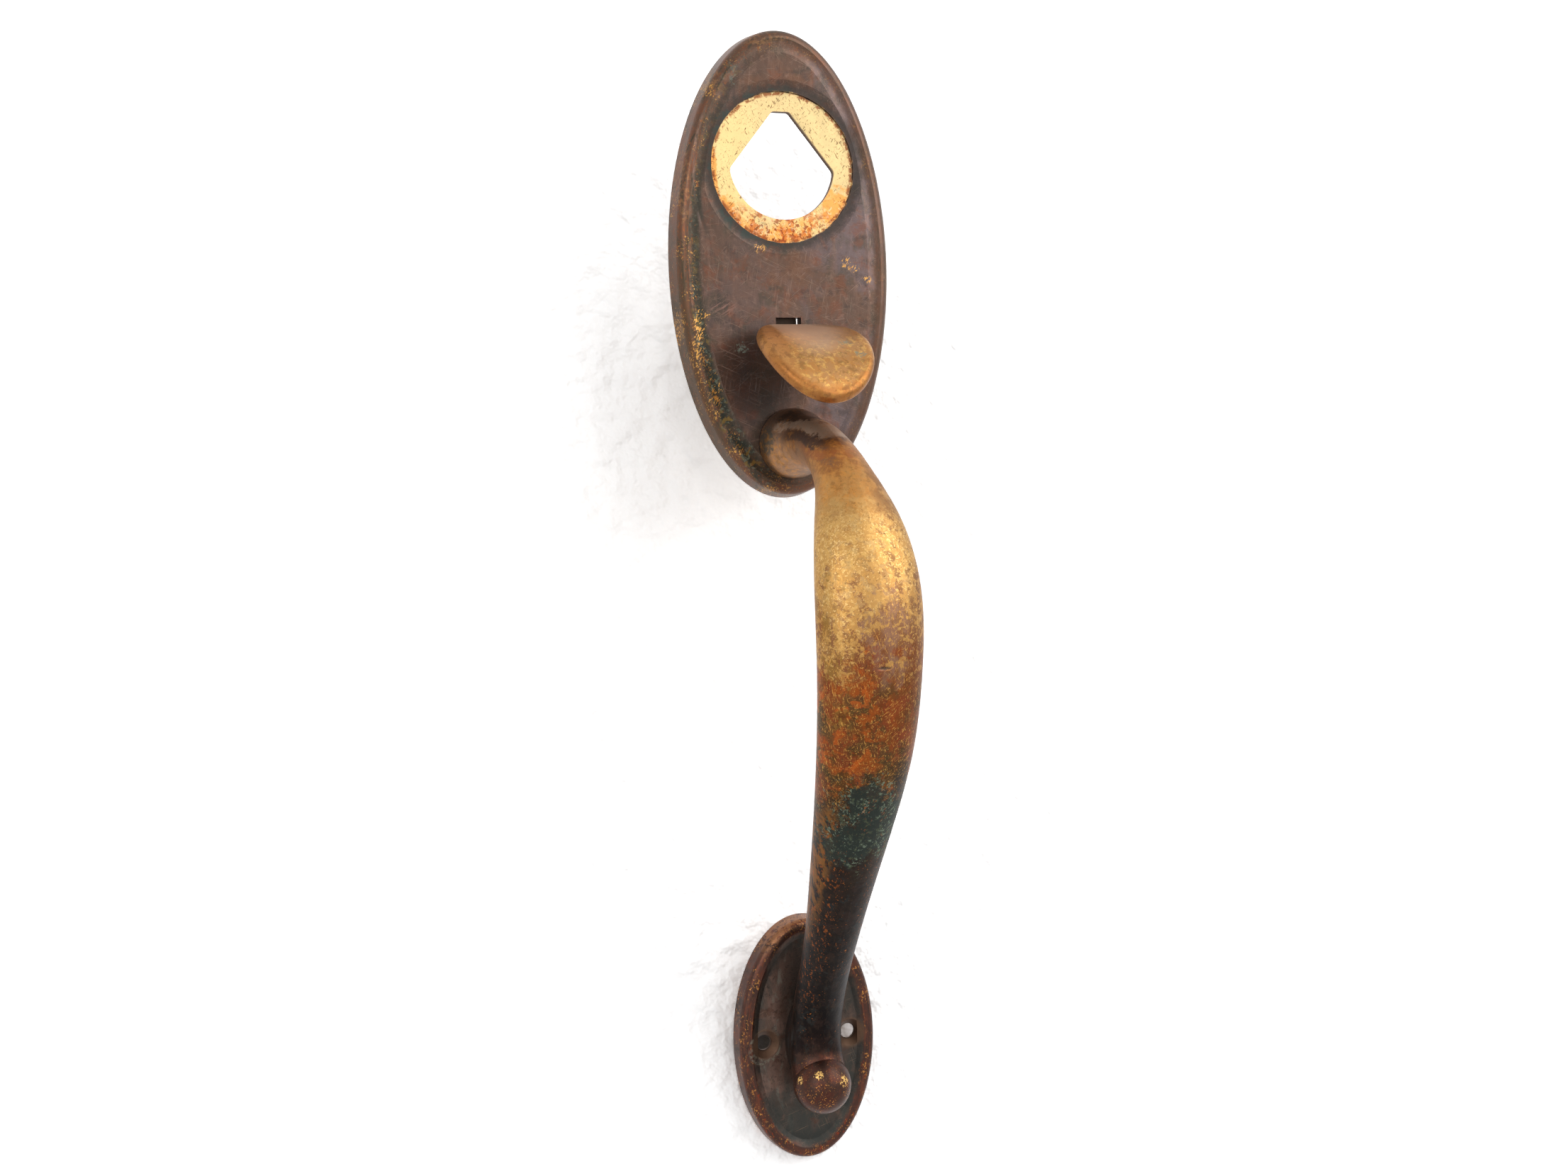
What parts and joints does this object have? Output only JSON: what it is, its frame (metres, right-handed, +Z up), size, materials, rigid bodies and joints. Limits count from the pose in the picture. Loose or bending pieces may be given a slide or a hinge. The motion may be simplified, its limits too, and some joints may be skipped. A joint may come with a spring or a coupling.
{
  "type": "entrance door thumb-latch pull handle",
  "caption": "Old cast bronze entrance door handle, outside half: oval plate with a cylinder seat and thumb latch, curved pull grip and an oval lower rose.",
  "frame": {"origin": "centre of the upper plate on the door's face, midway between its two tapped posts", "axes": "+X to the right as seen from outside, +Y into the door, +Z up along the handle"},
  "size_m": [0.0684, 0.1131, 0.3451],
  "materials": {
    "plate_bronze": "dark brown bronze patina, semi-gloss, with verdigris in the rim's groove",
    "grip_bronze": "golden brown worn bronze, semi-gloss, darker towards the foot",
    "thumb_bronze": "warm brown worn bronze, semi-gloss",
    "fixing_brass": "dull turned brass"
  },
  "bodies": {
    "handle": {"upper_plate": "plate_bronze", "grip": "grip_bronze", "lower_rose": "plate_bronze", "pivot_pin": "fixing_brass", "upper_grip_screw": "fixing_brass", "upper_grip_washer": "fixing_brass", "lower_grip_screw": "fixing_brass"},
    "thumb": {"thumb_lever": "thumb_bronze"}
  },
  "joints": [
    {"name": "thumb_hinge", "type": "hinge", "parent": "handle", "child": "thumb", "pos_m": [0, -0.0032, -0.0211], "axis": [-1, 0, 0], "range_deg": [0, 20]}
  ]
}
